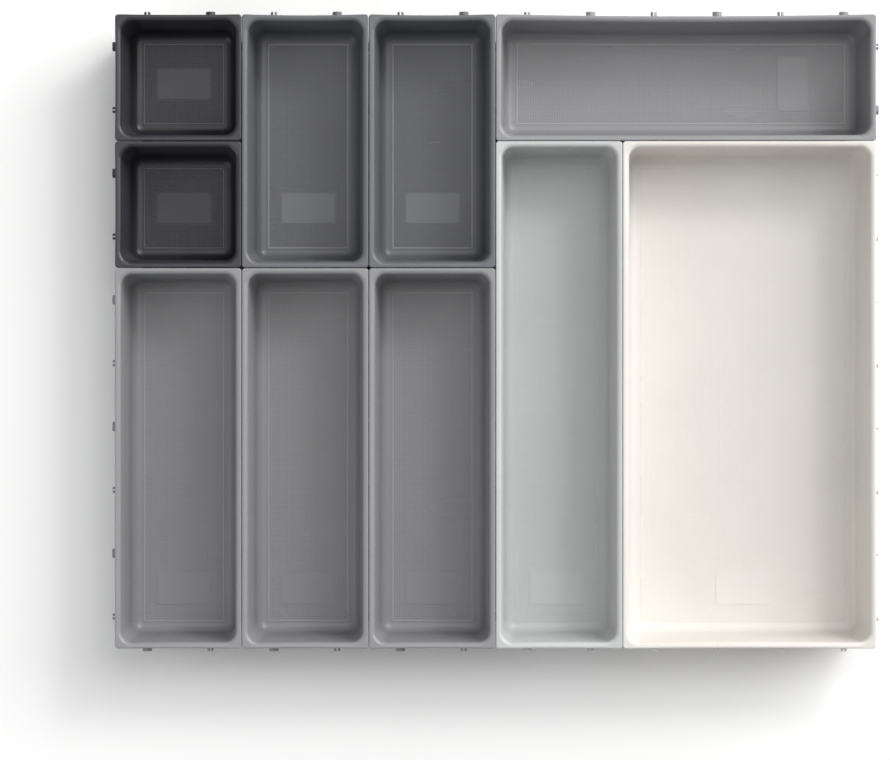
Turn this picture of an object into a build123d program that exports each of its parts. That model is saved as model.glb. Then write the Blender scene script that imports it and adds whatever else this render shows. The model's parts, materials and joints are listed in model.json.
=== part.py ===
from build123d import *
import math
import os

# A drawer organiser made of ten open bins that clip together on an 80 mm grid.
# Millimetres, +Z up. +X runs along the six-unit side and +Y points to the back of the drawer.
# The origin is on the surface that the feet stand on, under the middle of the clipped-up set.

# ---- Grid
UNIT = 80.0  # one square unit of the grid, seam plane to seam plane
UNITS_X = 6
UNITS_Y = 5

# ---- Heights
HEIGHT = 54.0  # from the standing surface to the top of the rims
FOOT_PROUD = 0.8  # how far a foot holds the base off the surface
FLOOR_THICK = 2.0
LIP_HEIGHT = 3.0  # the thick band round the top of every bin
FLOOR_Z = FOOT_PROUD + FLOOR_THICK
LIP_Z = HEIGHT - LIP_HEIGHT

# ---- Walls, each inset measured from the seam plane
LIP_INSET = 0.12  # half of the gap between two neighbouring rims
WALL_INSET = 2.3  # outside of the wall just under the lip
OPENING_INSET = 3.8  # inside of the wall at the top
DRAFT = 3.85  # degrees that the walls lean in towards the base
LIP_CORNER = 2.0
WALL_CORNER = 8.6  # the same at every height, as is the opening's
OPENING_CORNER = 7.0
RIM_ROLL = 2.5  # rounding from the top of the rim into the bin
RIM_EDGE = 0.8
LIP_UNDER = 0.4  # rounding under the lip's outside edge
FLOOR_ROLL = 5.8  # rounding from the inside of the wall into the floor
BASE_ROLL = 7.0  # rounding from the outside of the wall into the base

# ---- Draw-in: an outside wall of the set comes out of the mould slightly hollow,
# while a neighbour's clips hold every other wall straight
DRAWN_IN = {
    "small_bin_back": {"left": 0.3, "back": 0.4},
    "small_bin_front": {"left": 0.3},
    "medium_bin_left": {"back": 0.7},
    "medium_bin_right": {"back": 0.7},
    "cross_bin": {"back": 1.3, "right": 0.3},
    "long_bin_left": {"front": 0.3},
    "long_bin_middle": {"front": 0.3},
    "long_bin_right": {"front": 0.3},
    "narrow_bin": {"front": 0.3},
    "main_bin": {"front": 0.4},
}

# ---- Clips, a stud and a ring on every unit of every side
CLIP_OFFSET = 20.0  # from the middle of the unit to each clip
CLIP_Z = 47.0
CLIP_REACH = 1.9  # tip beyond the seam plane
CLIP_ROOT = 8.0  # how far behind the seam plane a clip starts, before the opening is cut
STUD_R = 2.0
STUD_SLOT = 0.95  # the slot that lets a stud's two prongs close up
STUD_SLOT_DEPTH = 1.5  # bottom of the slot behind the seam plane
STUD_LEAD_IN = 0.4
RING_R = 3.0
RING_BORE_R = 2.1
RING_DEPTH = 2.3  # bottom of the bore behind the seam plane, just clear of the wall
RING_EDGE = 0.3

# ---- Plain raised patch on each floor
PATCH_LONG = 35.0
PATCH_SHORT = 20.0
PATCH_THICK = 0.3
PATCH_CORNER = 1.5

# ---- Feet, non-slip pads pressed into the base
FOOT_R = 4.0
FOOT_PLAY = 0.1
FOOT_SUNK = 0.8
FOOT_INSET = 18.0  # from the seam plane to a foot's middle
FOOT_EDGE = 0.3

# ---- The bins: first column and row from the back left, units across and deep,
# the middle of the patch from the bin's middle, and whether the patch is turned a quarter
BINS = {
    "small_bin_back": (0, 0, 1, 1, (0, 0), False),
    "small_bin_front": (0, 1, 1, 1, (0, 0), False),
    "medium_bin_left": (1, 0, 1, 2, (0, -40), False),
    "medium_bin_right": (2, 0, 1, 2, (0, -40), False),
    "cross_bin": (3, 0, 3, 1, (72, 0), True),
    "long_bin_left": (0, 2, 1, 3, (0, -85), False),
    "long_bin_middle": (1, 2, 1, 3, (0, -85), False),
    "long_bin_right": (2, 2, 1, 3, (0, -85), False),
    "narrow_bin": (3, 1, 1, 4, (0, -125), False),
    "main_bin": (4, 1, 2, 4, (0, -125), False),
}

# Quarter turns that carry a side facing +X onto each side of a bin
SIDE_TURNS = {"right": 0, "back": 90, "left": 180, "front": 270}


def bin_middle(column, row, across, deep):
    x = (column + across / 2 - UNITS_X / 2) * UNIT
    y = (UNITS_Y / 2 - row - deep / 2) * UNIT
    return x, y


def side_bows(name):
    """How far the middle of each side of a bin draws in."""
    return {side: DRAWN_IN[name].get(side, 0) for side in SIDE_TURNS}


def hollow_side(start, end, inwards, bow):
    """One side of a plan: straight, or an arc whose middle lies inwards by the bow."""
    if bow == 0:
        return Line(start, end)
    middle = (Vector(start) + Vector(end)) / 2 + Vector(inwards) * bow
    return ThreePointArc(start, middle, end)


def outline(across, deep, bows, inset, corner):
    """A bin's plan at one level, a given distance inside the seams."""
    x = across * UNIT / 2 - inset
    y = deep * UNIT / 2 - inset
    front = hollow_side((-x, -y), (x, -y), (0, 1), bows["front"])
    right = hollow_side((x, -y), (x, y), (-1, 0), bows["right"])
    back = hollow_side((x, y), (-x, y), (0, -1), bows["back"])
    left = hollow_side((-x, y), (-x, -y), (1, 0), bows["left"])
    plan = make_face([front, right, back, left])
    return fillet(plan.vertices(), corner)


def drafted(across, deep, bows, inset, corner, top, bottom):
    """A block between two levels that leans in by the draft, with corners of one radius."""
    lean = (top - bottom) * math.tan(math.radians(DRAFT))
    upper = Pos(0, 0, top) * outline(across, deep, bows, inset, corner)
    lower = Pos(0, 0, bottom) * outline(across, deep, bows, inset + lean, corner)
    return loft([lower, upper], ruled=True)


def bottom_edges(solid):
    return solid.faces().sort_by(Axis.Z)[0].outer_wire().edges()


def block(across, deep, bows):
    """The outside of a bin as a full block: a drafted body under a thick lip."""
    lip_plan = outline(across, deep, bows, LIP_INSET, LIP_CORNER)
    lip = Pos(0, 0, LIP_Z) * extrude(lip_plan, amount=LIP_HEIGHT)
    lip = fillet(bottom_edges(lip), LIP_UNDER)
    wall = drafted(across, deep, bows, WALL_INSET, WALL_CORNER, LIP_Z, FOOT_PROUD)
    return lip + fillet(bottom_edges(wall), BASE_ROLL)


def opening(across, deep, bows):
    inside = drafted(across, deep, bows, OPENING_INSET, OPENING_CORNER, HEIGHT, FLOOR_Z)
    return fillet(bottom_edges(inside), FLOOR_ROLL)


def roll_rim(body):
    """The rim's crown: a wide rounding into the bin and a small one on the outside."""
    rim = body.faces().sort_by(Axis.Z)[-1]
    body = fillet(rim.inner_wires()[0].edges(), RIM_ROLL)
    rim = body.faces().sort_by(Axis.Z)[-1]
    return fillet(rim.outer_wire().edges(), RIM_EDGE)


def along_x(radius, start, end):
    """A round bar along X from start to end."""
    bar = Cylinder(radius, end - start, rotation=(0, 90, 0))
    return Pos((start + end) / 2, 0, 0) * bar


def end_edges(solid):
    return solid.edges().group_by(Axis.X)[-1]


def stud(drawn_in):
    """A split stud along +X with the seam plane at X = 0, on a wall drawn in by so much."""
    bar = chamfer(end_edges(along_x(STUD_R, -CLIP_ROOT, CLIP_REACH)), STUD_LEAD_IN)
    bottom = -STUD_SLOT_DEPTH - drawn_in
    slot = Box(CLIP_REACH + 1 - bottom, STUD_SLOT, 2.5 * STUD_R)
    return bar - Pos((CLIP_REACH + 1 + bottom) / 2, 0, 0) * slot


def ring(drawn_in):
    """The ring that a neighbour's stud snaps into, a blind socket with a flat bottom."""
    outside = fillet(end_edges(along_x(RING_R, -CLIP_ROOT, CLIP_REACH)), RING_EDGE)
    return outside - along_x(RING_BORE_R, -RING_DEPTH - drawn_in, CLIP_REACH + 1)


def side_clips(across, deep, side, bow):
    """Every stud and ring of one side, built facing +X and turned onto the side."""
    turned = side in ("back", "front")
    units = across if turned else deep
    reach = (deep if turned else across) * UNIT / 2
    half_length = units * UNIT / 2
    clips = []
    for number in range(units):
        middle = (number - (units - 1) / 2) * UNIT
        for clip, offset in ((stud, middle + CLIP_OFFSET), (ring, middle - CLIP_OFFSET)):
            drawn_in = bow * (1 - (offset / half_length) ** 2)
            place = Rot(0, 0, SIDE_TURNS[side]) * Pos(reach, offset, CLIP_Z)
            clips.append(place * clip(drawn_in))
    return clips


def patch(middle, turned):
    plate = extrude(RectangleRounded(PATCH_LONG, PATCH_SHORT, PATCH_CORNER), amount=PATCH_THICK)
    return Pos(middle[0], middle[1], FLOOR_Z) * Rot(0, 0, 90 if turned else 0) * plate


def foot_spots(across, deep):
    x = across * UNIT / 2 - FOOT_INSET
    y = deep * UNIT / 2 - FOOT_INSET
    return [(-x, -y), (x, -y), (-x, y), (x, y)]


def foot_recesses(across, deep):
    recess = Cylinder(FOOT_R, FOOT_SUNK, align=(Align.CENTER, Align.CENTER, Align.MIN))
    return [Pos(x, y, FOOT_PROUD) * recess for x, y in foot_spots(across, deep)]


def foot():
    height = FOOT_PROUD + FOOT_SUNK
    pad = Cylinder(FOOT_R - FOOT_PLAY, height, align=(Align.CENTER, Align.CENTER, Align.MIN))
    return fillet(pad.edges().group_by(Axis.Z)[0], FOOT_EDGE)


def feet(across, deep):
    pad = foot()
    return [Pos(x, y, 0) * pad for x, y in foot_spots(across, deep)]


def organiser_bin(name):
    _, _, across, deep, patch_middle, patch_turned = BINS[name]
    bows = side_bows(name)
    body = block(across, deep, bows)
    for side, bow in bows.items():
        body = body + side_clips(across, deep, side, bow)
    body = roll_rim(body - opening(across, deep, bows))
    return body + patch(patch_middle, patch_turned) - foot_recesses(across, deep)


def export(name, solids):
    """Write one node, as a single solid or as a group of separate ones."""
    shape = solids[0] if len(solids) == 1 else Compound(children=solids)
    export_step(shape, f"parts/{name}.step")


os.makedirs("parts", exist_ok=True)

for name, (column, row, across, deep, patch_middle, patch_turned) in BINS.items():
    x, y = bin_middle(column, row, across, deep)
    body = organiser_bin(name)
    export(name, [solid.moved(Location((x, y, 0))) for solid in body.solids()])
    export(name + "_feet", [pad.moved(Location((x, y, 0))) for pad in feet(across, deep)])
    print(name, len(body.solids()), "solid", round(body.volume), "mm3")
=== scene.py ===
import json
import math

import bpy
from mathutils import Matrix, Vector


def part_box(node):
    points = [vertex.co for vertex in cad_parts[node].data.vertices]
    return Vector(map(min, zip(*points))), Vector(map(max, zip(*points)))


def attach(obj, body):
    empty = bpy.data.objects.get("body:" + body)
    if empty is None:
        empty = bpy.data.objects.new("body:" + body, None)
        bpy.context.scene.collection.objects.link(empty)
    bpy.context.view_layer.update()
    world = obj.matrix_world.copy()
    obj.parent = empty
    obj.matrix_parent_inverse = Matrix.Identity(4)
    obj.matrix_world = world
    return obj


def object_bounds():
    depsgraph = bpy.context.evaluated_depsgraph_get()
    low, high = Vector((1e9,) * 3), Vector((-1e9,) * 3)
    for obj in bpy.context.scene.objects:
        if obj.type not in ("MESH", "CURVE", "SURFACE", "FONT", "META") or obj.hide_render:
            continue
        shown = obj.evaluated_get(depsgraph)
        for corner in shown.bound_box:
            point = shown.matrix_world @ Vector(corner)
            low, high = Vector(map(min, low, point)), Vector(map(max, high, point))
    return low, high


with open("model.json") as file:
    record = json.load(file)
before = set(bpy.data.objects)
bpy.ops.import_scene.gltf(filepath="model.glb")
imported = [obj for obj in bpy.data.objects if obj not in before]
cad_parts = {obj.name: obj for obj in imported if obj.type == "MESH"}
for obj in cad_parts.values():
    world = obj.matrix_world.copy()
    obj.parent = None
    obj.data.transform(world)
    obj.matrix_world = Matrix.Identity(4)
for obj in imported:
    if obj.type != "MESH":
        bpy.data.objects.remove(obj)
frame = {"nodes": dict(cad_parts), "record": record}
cad_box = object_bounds()

# The looks of a clip-together drawer organiser. The CAD bins stay as they are and get their
# plastic here. Each floor gets its moulded grid, and each raised patch its polished face; the
# grid's ribs and border and the patch faces are coloured lighter as painted highlight.
# Metres, in the CAD model's own frame.

MM = 0.001

# ---- Floors and raised patches, as the CAD model has them
CLIP_REACH = 1.9 * MM  # clips beyond the seam planes, so a bin's box is that much larger
FLOOR_Z = 2.8 * MM
PATCH_Z = 3.1 * MM  # top of the raised patch
PATCH_LONG = 35 * MM
PATCH_SHORT = 20 * MM
PATCH_CORNER = 1.5 * MM

# Middle of each bin's raised patch from the bin's own middle, in mm, and whether it is turned
PATCHES = {
    "small_bin_back": (0, 0, False),
    "small_bin_front": (0, 0, False),
    "medium_bin_left": (0, -40, False),
    "medium_bin_right": (0, -40, False),
    "cross_bin": (72, 0, True),
    "long_bin_left": (0, -85, False),
    "long_bin_middle": (0, -85, False),
    "long_bin_right": (0, -85, False),
    "narrow_bin": (0, -125, False),
    "main_bin": (0, -125, False),
}

# ---- Moulded grid on the floors
GRID_INSET = 14.5 * MM  # from the seam plane to the middle of the grid's border
GRID_PITCH = 1.55 * MM
GRID_SUNK = 0.05 * MM  # how far the ribs start below the floor
PATCH_CLEARANCE = 1.0 * MM
# Sections: width of the foot, width of the crest, and the heights of the ribs along Y and of
# those along X that cross them, a little lower so that no two crests lie in one plane
RIB = (0.5 * MM, 0.26 * MM, (0.16 * MM, 0.13 * MM))
BORDER = (1.25 * MM, 0.8 * MM, (0.2 * MM, 0.19 * MM))
BAR_FACES = 6

# How deep each slot's grid is moulded, as a share of the full height
GRID_DEPTH = {
    "charcoal_plastic": 1.0,
    "dark_grey_plastic": 1.0,
    "grey_plastic": 1.0,
    "light_grey_plastic": 0.6,
    "cream_plastic": 0.4,
}

# ---- Polished face of a patch
FACE_EDGE = 0.45 * MM  # bare edge of the patch left round its polished face
FACE_SUNK = 0.02 * MM
FACE_PROUD = 0.03 * MM
FACE_CORNER_STEPS = 8

# ---- Plastics: linear base colour and roughness by the record's slot
PLASTICS = {
    "charcoal_plastic": ((0.0328, 0.0313, 0.0405), 0.31),
    "dark_grey_plastic": ((0.129, 0.133, 0.146), 0.31),
    "grey_plastic": ((0.265, 0.265, 0.275), 0.31),
    "light_grey_plastic": ((0.51, 0.524, 0.52), 0.33),
    "cream_plastic": ((0.72, 0.693, 0.655), 0.35),
}

# What is rubbed or polished is smoother than the grained plastic: the grid's ribs, the border
# rib, which is the highest, and the face of the patch. Their colour is also made lighter, as
# painted highlight. Each has how much smoother it is, and how many times lighter by slot; the
# painted highlight is strongest on the dark plastics, up to 2.6 times on the charcoal border rib.
RUBBED_AND_PAINTED_HIGHLIGHT = {
    "ribs": (0.05, {
        "charcoal_plastic": 1.2,
        "dark_grey_plastic": 1.14,
        "grey_plastic": 1.15,
        "light_grey_plastic": 1.03,
        "cream_plastic": 1.0,
    }),
    "border": (0.08, {
        "charcoal_plastic": 2.6,
        "dark_grey_plastic": 1.9,
        "grey_plastic": 1.3,
        "light_grey_plastic": 1.05,
        "cream_plastic": 1.0,
    }),
    "patch": (0.08, {
        "charcoal_plastic": 1.42,
        "dark_grey_plastic": 1.28,
        "grey_plastic": 1.0,
        "light_grey_plastic": 1.02,
        "cream_plastic": 1.0,
    }),
}

# ---- Fine detail of the moulded plastic. A noise scale counts over a metre: higher is finer.
# A range is the part of the noise that counts, a shade is times the base colour, and a share
# is how much of a shade shows.
DRIFT_SCALE = 14  # slow drift of the colour over a bin
DRIFT_RANGE = (0.3, 0.7)
DRIFT_DARK = 0.97
DRIFT_LIGHT = 1.03
MOTTLE_SCALE = 900  # fine mottle of the pigment
MOTTLE_RANGE = (0.25, 0.75)
MOTTLE_SHADE = 1.06
MOTTLE_SHARE = 0.35
SCUFF_SCALE = 26
SCUFF_STRETCH = (9.0, 0.6, 1.0)  # short along X and long along Y
SCUFF_RANGE = (0.66, 0.78)
SCUFF_SHADE = 1.25
SCUFF_SHARE = 0.12
SCUFF_ROUGHER = 0.08
FLOW_SCALE = 30  # flow marks of the melt
FLOW_STRETCH = (0.25, 1.0, 1.0)
FLOW_SMOOTHER = 0.04
FLOW_ROUGHER = 0.05
FLOW_STRENGTH = 0.06
FLOW_HEIGHT = 0.15 * MM
GRAIN_SCALE = 3200  # spark-eroded grain
GRAIN_STRENGTH = 0.25
GRAIN_HEIGHT = 0.04 * MM
PLASTIC_SPECULAR = 0.5

# ---- Rubber of the feet
RUBBER = (0.17, 0.17, 0.17, 1)
RUBBER_DUST = (0.25, 0.245, 0.24, 1)
DUST_SCALE = 420
DUST_RANGE = (0.4, 0.7)
RUBBER_WEAR_SCALE = 160
RUBBER_SMOOTH = 0.62
RUBBER_ROUGH = 0.82
RUBBER_GRAIN_SCALE = 2600
RUBBER_GRAIN_STRENGTH = 0.35
RUBBER_GRAIN_HEIGHT = 0.05 * MM

# ---- Studio
SHEET_REACH = 12.0  # from the middle of the floor to its edges
PAPER_DARK = (0.95, 0.95, 0.945, 1)
PAPER_LIGHT = (0.97, 0.97, 0.965, 1)
PAPER_SCALE = 3
PAPER_ROUGHNESS = 0.9
PAPER_SPECULAR = 0.1

# Grey level of the surroundings at heights given by the sine of the elevation
SURROUNDINGS = ((0.0, 0.7), (0.12, 0.34), (0.3, 0.28), (1.0, 0.28))

WARM = (1.0, 0.993, 0.982)
WHITE = (1.0, 1.0, 1.0)
COOL = (0.97, 0.985, 1.0)
# Softboxes: azimuth from +X towards +Y and elevation in degrees, distance from the origin and
# size in metres, power in watts, and colour
SOFTBOXES = {
    "key": (51, 42, 3.2, 3.6, 43, WARM),
    "key_middle": (51, 42, 3.15, 0.7, 24, WARM),
    "side": (25, 24, 3.2, 2.2, 60, WARM),
    "overhead": (90, 89.9, 3.2, 2.2, 8.5, WHITE),
    "overhead_back": (80, 73, 3.2, 1.6, 9, WHITE),
    "high": (45, 62, 3.2, 1.6, 9, WHITE),
    "fill": (195, 35, 0.9, 0.6, 1.3, COOL),
}

CAMERA_X = -31.9 * MM
CAMERA_Y = -30.6 * MM
CAMERA_RISE = 2.25  # above the rims
CAMERA_REACH = 50.0  # how far it sees
SENSOR_WIDTH = 36.0  # mm
FOCAL_LENGTH = 144.5  # mm


# ---- Materials

class Graph:
    """A material's node tree, with short ways to add nodes and join them."""

    def __init__(self, name):
        self.material = bpy.data.materials.new(name)
        self.material.use_nodes = True
        self.tree = self.material.node_tree
        self.shader = self.tree.nodes["Principled BSDF"]
        self.coordinates = self.tree.nodes.new("ShaderNodeTexCoord").outputs["Object"]

    def add(self, kind, **settings):
        node = self.tree.nodes.new(kind)
        for setting, value in settings.items():
            setattr(node, setting, value)
        return node

    def join(self, output, socket):
        self.tree.links.new(output, socket)

    def feed(self, name, output):
        """Join an output to the shader's socket of that name."""
        self.join(output, self.shader.inputs[name])

    def noise(self, scale, detail=2.0, roughness=0.5, stretch=None):
        """A noise value from 0 to 1; stretch scales the coordinates along each axis first."""
        node = self.add("ShaderNodeTexNoise")
        node.inputs["Scale"].default_value = scale
        node.inputs["Detail"].default_value = detail
        node.inputs["Roughness"].default_value = roughness
        source = self.coordinates
        if stretch:
            mapping = self.add("ShaderNodeMapping")
            mapping.inputs["Scale"].default_value = stretch
            self.join(source, mapping.inputs["Vector"])
            source = mapping.outputs["Vector"]
        self.join(source, node.inputs["Vector"])
        return node.outputs["Fac"]

    def spread(self, value, onto=(0.0, 1.0), part=(0.0, 1.0)):
        """A part of a value's range, carried onto another range and held inside it."""
        node = self.add("ShaderNodeMapRange")
        for end, level in zip(("From Min", "From Max", "To Min", "To Max"), part + onto):
            node.inputs[end].default_value = level
        self.join(value, node.inputs["Value"])
        return node.outputs["Result"]

    def maths(self, operation, first, second):
        node = self.add("ShaderNodeMath", operation=operation)
        for socket, value in zip(node.inputs, (first, second)):
            if isinstance(value, (int, float)):
                socket.default_value = value
            else:
                self.join(value, socket)
        return node.outputs["Value"]

    def blend(self, factor, first, second):
        """One colour turning into another."""
        node = self.add("ShaderNodeMix", data_type="RGBA")
        for name, value in (("Factor", factor), ("A", first), ("B", second)):
            socket = [s for s in node.inputs if s.name == name and s.enabled][0]
            if isinstance(value, tuple):
                socket.default_value = value
            else:
                self.join(value, socket)
        return [s for s in node.outputs if s.enabled][0]

    def bump(self, height, strength, distance, below=None):
        """A surface raised by a height value, on top of an earlier bump if one is given."""
        node = self.add("ShaderNodeBump")
        node.inputs["Strength"].default_value = strength
        node.inputs["Distance"].default_value = distance
        self.join(height, node.inputs["Height"])
        if below is not None:
            self.join(below, node.inputs["Normal"])
        return node.outputs["Normal"]


def shade(colour, times):
    """A colour made so many times lighter, with full alpha."""
    return tuple(min(1.0, channel * times) for channel in colour[:3]) + (1.0,)


def moulded_plastic(name, colour, roughness):
    """Satin moulded plastic: spark-eroded grain, faint flow marks, and scuffs from what
    slides over it."""
    graph = Graph(name)
    drift = graph.spread(graph.noise(DRIFT_SCALE, detail=3), part=DRIFT_RANGE)
    flow = graph.noise(FLOW_SCALE, roughness=0.4, stretch=FLOW_STRETCH)
    mottle = graph.spread(graph.noise(MOTTLE_SCALE), part=MOTTLE_RANGE)
    streaks = graph.noise(SCUFF_SCALE, detail=6, roughness=0.75, stretch=SCUFF_STRETCH)
    scuffs = graph.spread(streaks, part=SCUFF_RANGE)

    body = graph.blend(drift, shade(colour, DRIFT_DARK), shade(colour, DRIFT_LIGHT))
    for marks, share, times in (
        (mottle, MOTTLE_SHARE, MOTTLE_SHADE),
        (scuffs, SCUFF_SHARE, SCUFF_SHADE),
    ):
        body = graph.blend(graph.maths("MULTIPLY", marks, share), body, shade(colour, times))
    graph.feed("Base Color", body)

    rough = graph.spread(flow, onto=(roughness - FLOW_SMOOTHER, roughness + FLOW_ROUGHER))
    rough = graph.maths("ADD", rough, graph.maths("MULTIPLY", scuffs, SCUFF_ROUGHER))
    graph.feed("Roughness", rough)

    grain = graph.bump(graph.noise(GRAIN_SCALE, roughness=0.6), GRAIN_STRENGTH, GRAIN_HEIGHT)
    graph.feed("Normal", graph.bump(flow, FLOW_STRENGTH, FLOW_HEIGHT, below=grain))
    graph.shader.inputs["Specular IOR Level"].default_value = PLASTIC_SPECULAR
    return graph.material


def foot_rubber():
    """Soft grey rubber with a dusty, rubbed surface."""
    graph = Graph("foot_rubber")
    dust = graph.spread(graph.noise(DUST_SCALE, detail=4, roughness=0.65), part=DUST_RANGE)
    graph.feed("Base Color", graph.blend(dust, RUBBER, RUBBER_DUST))
    wear = graph.noise(RUBBER_WEAR_SCALE, detail=3)
    graph.feed("Roughness", graph.spread(wear, onto=(RUBBER_SMOOTH, RUBBER_ROUGH)))
    grain = graph.noise(RUBBER_GRAIN_SCALE, detail=3)
    graph.feed("Normal", graph.bump(grain, RUBBER_GRAIN_STRENGTH, RUBBER_GRAIN_HEIGHT))
    return graph.material


def studio_paper():
    """Pale matt paper, a little uneven."""
    graph = Graph("studio_paper")
    graph.feed("Base Color", graph.blend(graph.noise(PAPER_SCALE), PAPER_DARK, PAPER_LIGHT))
    graph.shader.inputs["Roughness"].default_value = PAPER_ROUGHNESS
    graph.shader.inputs["Specular IOR Level"].default_value = PAPER_SPECULAR
    return graph.material


# ---- Moulded grids and polished faces

def add_mesh(name, vertices, faces):
    """A new mesh object in the scene."""
    mesh = bpy.data.meshes.new(name)
    mesh.from_pydata(vertices, [], faces)
    mesh.validate()
    piece = bpy.data.objects.new(name, mesh)
    bpy.context.scene.collection.objects.link(piece)
    return piece


def patch_plan(name, margin):
    """The middle of a bin's raised patch, and half its length along X and Y with a margin."""
    low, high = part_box(name)
    middle = (low + high) / 2
    patch_x, patch_y, turned = PATCHES[name]
    half = [PATCH_LONG / 2 + margin, PATCH_SHORT / 2 + margin]
    if turned:
        half.reverse()
    return (middle.x + patch_x * MM, middle.y + patch_y * MM), half


def bar(vertices, faces, low, high, slope, top):
    """Add a low rib with sloping sides between two corners of its foot, as a closed solid."""
    first = len(vertices)
    for inset, z in ((0, FLOOR_Z - GRID_SUNK), (slope, FLOOR_Z + top)):
        x0, y0, x1, y1 = low[0] + inset, low[1] + inset, high[0] - inset, high[1] - inset
        vertices.extend([(x0, y0, z), (x1, y0, z), (x1, y1, z), (x0, y1, z)])
    faces.append([first + i for i in (3, 2, 1, 0)])
    faces.append([first + i for i in (4, 5, 6, 7)])
    for i in range(4):
        j = (i + 1) % 4
        faces.append([first + i, first + j, first + 4 + j, first + 4 + i])


def stretches(start, end, position, hole_low, hole_high, across):
    """The stretches of one rib from start to end, cut where it would run through the patch."""
    if not hole_low[across] < position < hole_high[across]:
        return [(start, end)]
    along = 1 - across
    return [(start, hole_low[along]), (hole_high[along], end)]


def floor_grid(name, depth):
    """The fine grid of ribs moulded on a bin's floor, inside a border rib and round the patch.
    Its ribs have the first material slot and its border the second."""
    low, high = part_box(name)
    start = [low[i] + CLIP_REACH + GRID_INSET for i in (0, 1)]
    end = [high[i] - CLIP_REACH - GRID_INSET for i in (0, 1)]
    centre, half = patch_plan(name, PATCH_CLEARANCE)
    hole_low = [centre[i] - half[i] for i in (0, 1)]
    hole_high = [centre[i] + half[i] for i in (0, 1)]
    vertices, faces, finish = [], [], []
    for across in (0, 1):  # ribs side by side along X, which run along Y, then the others
        along = 1 - across
        length = end[across] - start[across]
        count = round(length / GRID_PITCH)
        for number in range(count + 1):
            position = start[across] + length * number / count
            at_border = number in (0, count)
            foot, crest, heights = BORDER if at_border else RIB
            slope = (foot - crest) / 2
            pieces = stretches(start[along], end[along], position, hole_low, hole_high, across)
            for near, far in pieces:
                corner, opposite = [0, 0], [0, 0]
                corner[across], opposite[across] = position - foot / 2, position + foot / 2
                corner[along], opposite[along] = near - foot / 2, far + foot / 2
                bar(vertices, faces, corner, opposite, slope, heights[across] * depth)
                finish.extend([int(at_border)] * BAR_FACES)
    piece = add_mesh(name + "_floor_grid", vertices, faces)
    piece.data.polygons.foreach_set("material_index", finish)
    return piece


def patch_face(name):
    """The polished face on top of a bin's raised patch, a thin rounded plate."""
    centre, half = patch_plan(name, -FACE_EDGE)
    radius = PATCH_CORNER - FACE_EDGE
    outline = []
    for corner, (side_x, side_y) in enumerate(((1, 1), (-1, 1), (-1, -1), (1, -1))):
        for step in range(FACE_CORNER_STEPS + 1):
            angle = math.radians(90 * (corner + step / FACE_CORNER_STEPS))
            outline.append((
                centre[0] + side_x * (half[0] - radius) + radius * math.cos(angle),
                centre[1] + side_y * (half[1] - radius) + radius * math.sin(angle),
            ))
    count = len(outline)
    levels = (PATCH_Z - FACE_SUNK, PATCH_Z + FACE_PROUD)
    vertices = [(x, y, z) for z in levels for x, y in outline]
    faces = [list(range(count))[::-1], list(range(count, 2 * count))]
    for i in range(count):
        j = (i + 1) % count
        faces.append([i, j, count + j, count + i])
    return add_mesh(name + "_patch_face", vertices, faces)


# ---- Studio

def floor():
    """A broad pale sheet under the object."""
    sides = ((-1, -1), (1, -1), (1, 1), (-1, 1))
    corners = [(x * SHEET_REACH, y * SHEET_REACH, 0) for x, y in sides]
    piece = add_mesh("studio_floor", corners, [(0, 1, 2, 3)])
    piece.data.materials.append(studio_paper())


def softbox(name, azimuth, elevation, distance, size, power, colour):
    """A square area light aimed at the object."""
    light = bpy.data.lights.new(name, "AREA")
    light.shape = "SQUARE"
    light.size = size
    light.energy = power
    light.color = colour
    turn, rise = math.radians(azimuth), math.radians(elevation)
    flat = math.cos(rise)
    place = Vector((math.cos(turn) * flat, math.sin(turn) * flat, math.sin(rise))) * distance
    lamp = bpy.data.objects.new(name, light)
    lamp.location = place
    lamp.rotation_euler = (-place).to_track_quat("-Z", "Y").to_euler()
    bpy.context.scene.collection.objects.link(lamp)


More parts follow.
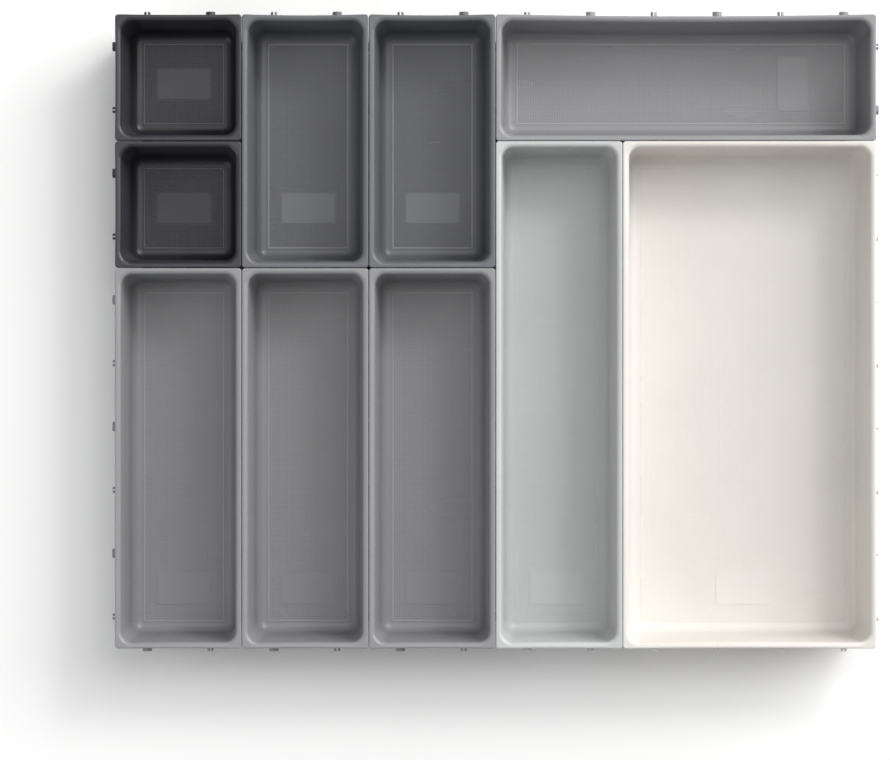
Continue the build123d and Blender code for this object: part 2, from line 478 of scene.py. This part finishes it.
def surroundings():
    """Pale surroundings whose brightness changes with height."""
    world = bpy.data.worlds.new("studio")
    world.use_nodes = True
    tree = world.node_tree
    direction = tree.nodes.new("ShaderNodeTexCoord").outputs["Generated"]
    axes = tree.nodes.new("ShaderNodeSeparateXYZ")
    ramp = tree.nodes.new("ShaderNodeValToRGB")
    stops = ramp.color_ramp.elements
    while len(stops) < len(SURROUNDINGS):
        stops.new(0.5)
    for stop, (height, grey) in zip(stops, SURROUNDINGS):
        stop.position = height
        stop.color = (grey, grey, grey, 1.0)
    tree.links.new(direction, axes.inputs["Vector"])
    tree.links.new(axes.outputs["Z"], ramp.inputs["Fac"])
    tree.links.new(ramp.outputs["Color"], tree.nodes["Background"].inputs["Color"])
    bpy.context.scene.world = world


def camera():
    """Straight down, with the set a little up and right of the axis."""
    lens = bpy.data.cameras.new("camera")
    lens.sensor_width = SENSOR_WIDTH
    lens.lens = FOCAL_LENGTH
    lens.clip_end = CAMERA_REACH
    view = bpy.data.objects.new("camera", lens)
    view.location = (CAMERA_X, CAMERA_Y, cad_box[1].z + CAMERA_RISE)
    bpy.context.scene.collection.objects.link(view)
    bpy.context.scene.camera = view


# ---- Put together

body_of = {
    node: body
    for body, nodes in frame["record"]["behaviour"]["bodies"].items()
    for node in nodes
}
slot_of = {part["node"]: part["material_slot"] for part in frame["record"]["subparts"]}
finishes = {slot: moulded_plastic(slot, *look) for slot, look in PLASTICS.items()}
finishes["foot_rubber"] = foot_rubber()
# Smoother copies of each plastic for the ribs, border and patch faces, made lighter as painted
# highlight
rubbed_and_painted_highlight = {
    where: {
        slot: moulded_plastic(f"{slot}_{where}", shade(colour, times[slot]), roughness - smoother)
        for slot, (colour, roughness) in PLASTICS.items()
    }
    for where, (smoother, times) in RUBBED_AND_PAINTED_HIGHLIGHT.items()
}

for node, shown in frame["nodes"].items():
    for material_slot in shown.material_slots:
        material_slot.material = finishes[slot_of[node]]

# Each floor grid and patch face takes its plastic with painted highlight
for name in PATCHES:
    slot = slot_of[name]
    grid = floor_grid(name, GRID_DEPTH[slot])
    grid.data.materials.append(rubbed_and_painted_highlight["ribs"][slot])
    grid.data.materials.append(rubbed_and_painted_highlight["border"][slot])
    face = patch_face(name)
    face.data.materials.append(rubbed_and_painted_highlight["patch"][slot])
    for piece in (grid, face):
        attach(piece, body_of[name])

floor()
surroundings()
for name, settings in SOFTBOXES.items():
    softbox(name, *settings)
camera()
bpy.context.scene.view_settings.view_transform = "Standard"
